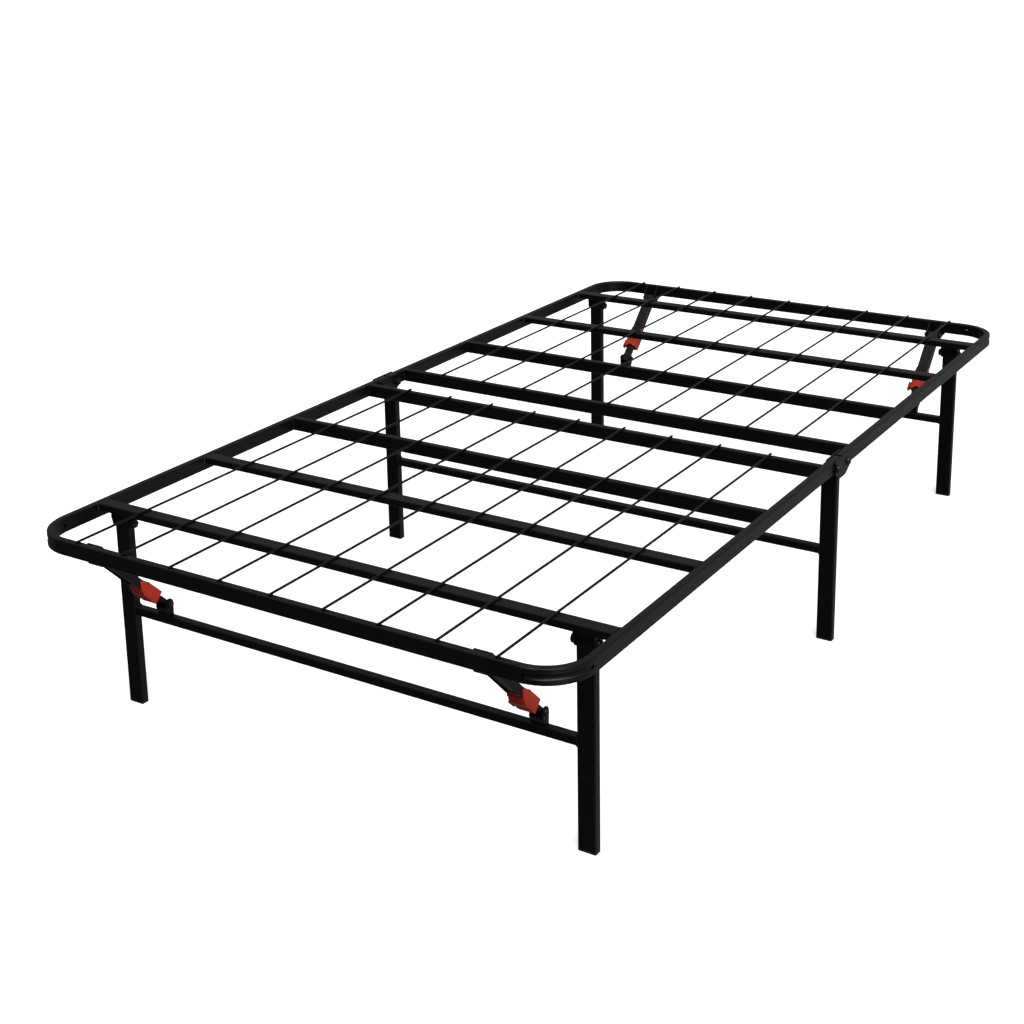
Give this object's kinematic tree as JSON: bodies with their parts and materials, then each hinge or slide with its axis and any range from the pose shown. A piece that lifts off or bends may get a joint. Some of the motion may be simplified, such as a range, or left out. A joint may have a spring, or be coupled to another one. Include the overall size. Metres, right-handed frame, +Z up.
{
  "type": "folding platform bed frame",
  "caption": "Black steel folding platform bed frame: two wire-and-slat decks hinged on a centre stand, with folding end legs held by telescoping braces with red latches.",
  "frame": {"origin": "on the floor under the middle of the bed", "axes": "+X across the bed, +Y from the foot end to the head end, +Z up"},
  "size_m": [1.0058, 1.905, 0.356],
  "materials": {
    "rail_coat": "black powder coat, satin with a fine orange peel",
    "slat_coat": "black powder coat, satin with a fine orange peel",
    "wire_coat": "black powder coat, satin with a fine orange peel",
    "leg_coat": "black powder coat, satin with a fine orange peel",
    "brace_coat": "black powder coat, satin with a fine orange peel",
    "plate_coat": "black powder coat, satin with a fine orange peel",
    "bolt_steel": "blackened",
    "spring_steel": "bright wire",
    "foot_plastic": "moulded, matt",
    "latch_plastic": "moulded red, half gloss"
  },
  "bodies": {
    "centre_stand": {"centre_leg_left": "leg_coat", "centre_leg_right": "leg_coat", "centre_cross_tube": "leg_coat", "centre_bracket_left": "plate_coat", "centre_bracket_right": "plate_coat", "centre_foot_caps": "foot_plastic", "centre_hinge_bolts": "bolt_steel"},
    "foot_deck": {"foot_perimeter_rail": "rail_coat", "foot_slat_1": "slat_coat", "foot_slat_2": "slat_coat", "foot_slat_3": "slat_coat", "foot_slat_4": "slat_coat", "foot_deck_wires": "wire_coat", "foot_leg_saddles": "plate_coat", "foot_brace_brackets": "plate_coat", "foot_leg_pivot_bolts": "bolt_steel", "foot_brace_upper_bolts": "bolt_steel"},
    "foot_legs": {"foot_leg_left": "leg_coat", "foot_leg_right": "leg_coat", "foot_leg_cross_tube": "leg_coat", "foot_brace_lugs": "plate_coat", "foot_leg_foot_caps": "foot_plastic", "foot_brace_lower_bolts": "bolt_steel"},
    "foot_brace_left": {"foot_brace_channel_left": "brace_coat", "foot_latch_housing_left": "latch_plastic", "foot_latch_spring_left": "spring_steel"},
    "foot_link_left": {"foot_brace_link_left": "brace_coat"},
    "foot_key_left": {"foot_latch_key_left": "latch_plastic"},
    "foot_brace_right": {"foot_brace_channel_right": "brace_coat", "foot_latch_housing_right": "latch_plastic", "foot_latch_spring_right": "spring_steel"},
    "foot_link_right": {"foot_brace_link_right": "brace_coat"},
    "foot_key_right": {"foot_latch_key_right": "latch_plastic"},
    "head_deck": {"head_perimeter_rail": "rail_coat", "head_slat_1": "slat_coat", "head_slat_2": "slat_coat", "head_slat_3": "slat_coat", "head_slat_4": "slat_coat", "head_deck_wires": "wire_coat", "head_leg_saddles": "plate_coat", "head_brace_brackets": "plate_coat", "head_leg_pivot_bolts": "bolt_steel", "head_brace_upper_bolts": "bolt_steel"},
    "head_legs": {"head_leg_left": "leg_coat", "head_leg_right": "leg_coat", "head_leg_cross_tube": "leg_coat", "head_brace_lugs": "plate_coat", "head_leg_foot_caps": "foot_plastic", "head_brace_lower_bolts": "bolt_steel"},
    "head_brace_left": {"head_brace_channel_left": "brace_coat", "head_latch_housing_left": "latch_plastic", "head_latch_spring_left": "spring_steel"},
    "head_link_left": {"head_brace_link_left": "brace_coat"},
    "head_key_left": {"head_latch_key_left": "latch_plastic"},
    "head_brace_right": {"head_brace_channel_right": "brace_coat", "head_latch_housing_right": "latch_plastic", "head_latch_spring_right": "spring_steel"},
    "head_link_right": {"head_brace_link_right": "brace_coat"},
    "head_key_right": {"head_latch_key_right": "latch_plastic"}
  },
  "joints": [
    {"name": "foot_deck_fold", "type": "hinge", "parent": "centre_stand", "child": "foot_deck", "pos_m": [0, -0.0235, 0.336], "axis": [1, 0, 0], "range_deg": [0, 88]},
    {"name": "foot_leg_fold", "type": "hinge", "parent": "foot_deck", "child": "foot_legs", "pos_m": [0, -0.797, 0.325], "axis": [1, 0, 0], "range_deg": [0, 90]},
    {"name": "foot_brace_left_swing", "type": "hinge", "parent": "foot_deck", "child": "foot_brace_left", "pos_m": [-0.358, -0.926, 0.323], "axis": [1, 0, 0], "range_deg": [0, 44.1]},
    {"name": "foot_link_left_swing", "type": "hinge", "parent": "foot_legs", "child": "foot_link_left", "pos_m": [-0.358, -0.8, 0.2], "axis": [1, 0, 0], "range_deg": [-46, 0]},
    {"name": "foot_latch_left_press", "type": "slide", "parent": "foot_brace_left", "child": "foot_key_left", "axis": [1, 0, 0], "range_m": [0, 0.004], "stiffness_N_per_m": 500, "springref_m": -0.004, "deforming": ["foot_latch_spring_left"]},
    {"name": "foot_brace_right_swing", "type": "hinge", "parent": "foot_deck", "child": "foot_brace_right", "pos_m": [0.358, -0.926, 0.323], "axis": [1, 0, 0], "range_deg": [0, 44.1]},
    {"name": "foot_link_right_swing", "type": "hinge", "parent": "foot_legs", "child": "foot_link_right", "pos_m": [0.358, -0.8, 0.2], "axis": [1, 0, 0], "range_deg": [-46, 0]},
    {"name": "foot_latch_right_press", "type": "slide", "parent": "foot_brace_right", "child": "foot_key_right", "axis": [1, 0, 0], "range_m": [0, 0.004], "stiffness_N_per_m": 500, "springref_m": -0.004, "deforming": ["foot_latch_spring_right"]},
    {"name": "head_deck_fold", "type": "hinge", "parent": "centre_stand", "child": "head_deck", "pos_m": [0, 0.0235, 0.336], "axis": [-1, 0, 0], "range_deg": [0, 88]},
    {"name": "head_leg_fold", "type": "hinge", "parent": "head_deck", "child": "head_legs", "pos_m": [0, 0.797, 0.325], "axis": [-1, 0, 0], "range_deg": [0, 90]},
    {"name": "head_brace_left_swing", "type": "hinge", "parent": "head_deck", "child": "head_brace_left", "pos_m": [-0.358, 0.926, 0.323], "axis": [-1, 0, 0], "range_deg": [0, 44.1]},
    {"name": "head_link_left_swing", "type": "hinge", "parent": "head_legs", "child": "head_link_left", "pos_m": [-0.358, 0.8, 0.2], "axis": [-1, 0, 0], "range_deg": [-46, 0]},
    {"name": "head_latch_left_press", "type": "slide", "parent": "head_brace_left", "child": "head_key_left", "axis": [1, 0, 0], "range_m": [0, 0.004], "stiffness_N_per_m": 500, "springref_m": -0.004, "deforming": ["head_latch_spring_left"]},
    {"name": "head_brace_right_swing", "type": "hinge", "parent": "head_deck", "child": "head_brace_right", "pos_m": [0.358, 0.926, 0.323], "axis": [-1, 0, 0], "range_deg": [0, 44.1]},
    {"name": "head_link_right_swing", "type": "hinge", "parent": "head_legs", "child": "head_link_right", "pos_m": [0.358, 0.8, 0.2], "axis": [-1, 0, 0], "range_deg": [-46, 0]},
    {"name": "head_latch_right_press", "type": "slide", "parent": "head_brace_right", "child": "head_key_right", "axis": [1, 0, 0], "range_m": [0, 0.004], "stiffness_N_per_m": 500, "springref_m": -0.004, "deforming": ["head_latch_spring_right"]}
  ],
  "couplings": [
    {"joint": "foot_brace_left_swing", "follows": "foot_leg_fold", "ratio": 0.48982},
    {"joint": "foot_link_left_swing", "follows": "foot_leg_fold", "ratio": -0.51018},
    {"joint": "foot_brace_right_swing", "follows": "foot_leg_fold", "ratio": 0.48982},
    {"joint": "foot_link_right_swing", "follows": "foot_leg_fold", "ratio": -0.51018},
    {"joint": "head_brace_left_swing", "follows": "head_leg_fold", "ratio": 0.48982},
    {"joint": "head_link_left_swing", "follows": "head_leg_fold", "ratio": -0.51018},
    {"joint": "head_brace_right_swing", "follows": "head_leg_fold", "ratio": 0.48982},
    {"joint": "head_link_right_swing", "follows": "head_leg_fold", "ratio": -0.51018}
  ]
}
